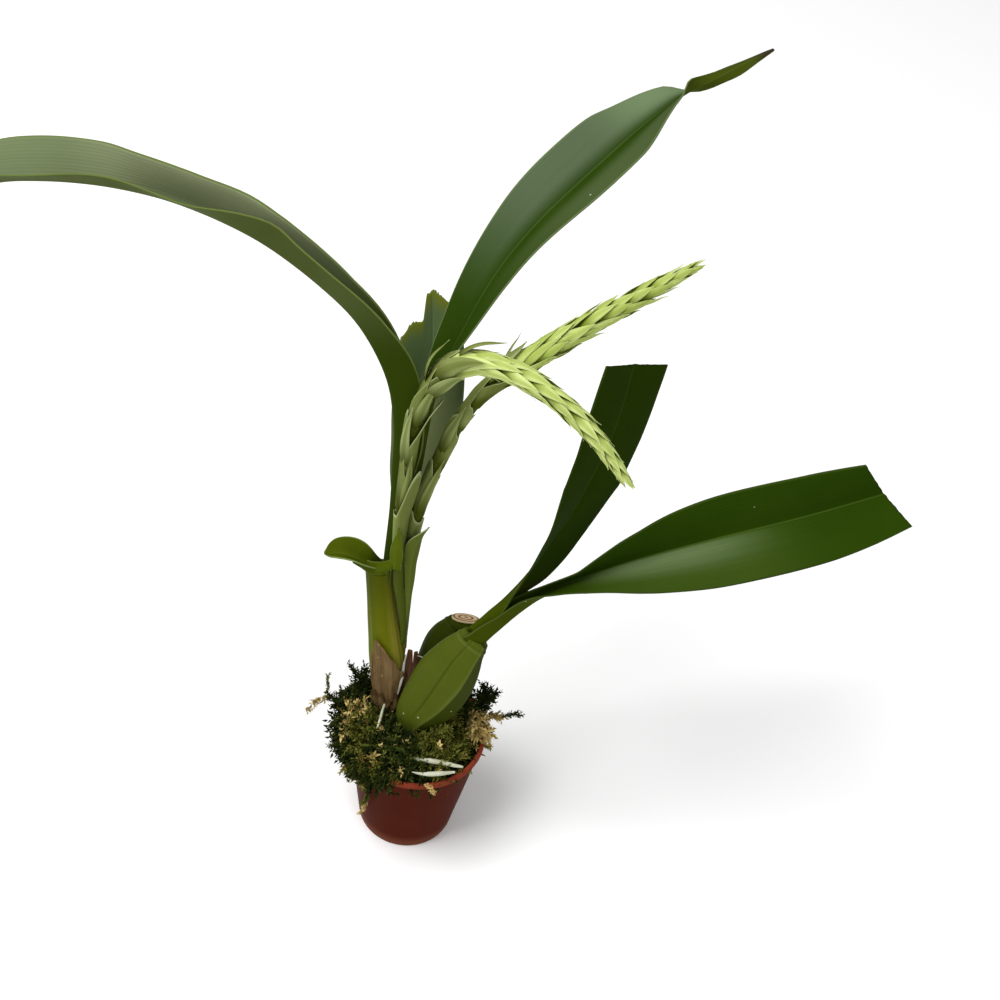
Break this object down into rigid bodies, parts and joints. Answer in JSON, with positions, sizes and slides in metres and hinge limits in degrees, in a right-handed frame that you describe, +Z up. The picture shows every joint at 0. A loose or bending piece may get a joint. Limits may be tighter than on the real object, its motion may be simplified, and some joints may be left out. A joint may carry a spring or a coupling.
{
  "type": "potted orchid",
  "caption": "Small orchid in bud in a tapered clay-coloured plastic pot: moss, pseudobulbs, strap leaves, cut leaves and flower spikes.",
  "frame": {"origin": "centre of the pot's flat base", "axes": "+Z up along the pot's axis, -Y towards the viewer, +X to the right, towards the cut leaves"},
  "size_m": [0.3851, 0.1541, 0.3008],
  "materials": {
    "pot_plastic": "satin",
    "potting_mix": "coarse",
    "moss": "matt",
    "root": "matt",
    "rhizome": "rough",
    "bulb": "satin",
    "cut_end": "matt",
    "sheath": "satin",
    "paper": "matt",
    "leaf": "satin",
    "leaf_pale": "satin",
    "spike": "satin"
  },
  "bodies": {
    "root": {"pot": "pot_plastic", "bark_fill": "potting_mix", "moss": "moss", "root_long": "root", "root_short": "root", "root_new": "root", "rhizome": "rhizome", "bulb_front": "bulb", "bulb_rear": "bulb", "cut_stub": "cut_end", "new_growth": "sheath", "papery_sheath": "paper", "leaf_left": "leaf", "leaf_right": "leaf", "leaf_back": "leaf_pale", "leaf_cut_wide": "leaf", "leaf_cut_tall": "leaf", "leaf_bract": "leaf", "bract_small": "leaf", "spike_arching": "spike", "spike_straight": "spike"}
  },
  "joints": []
}
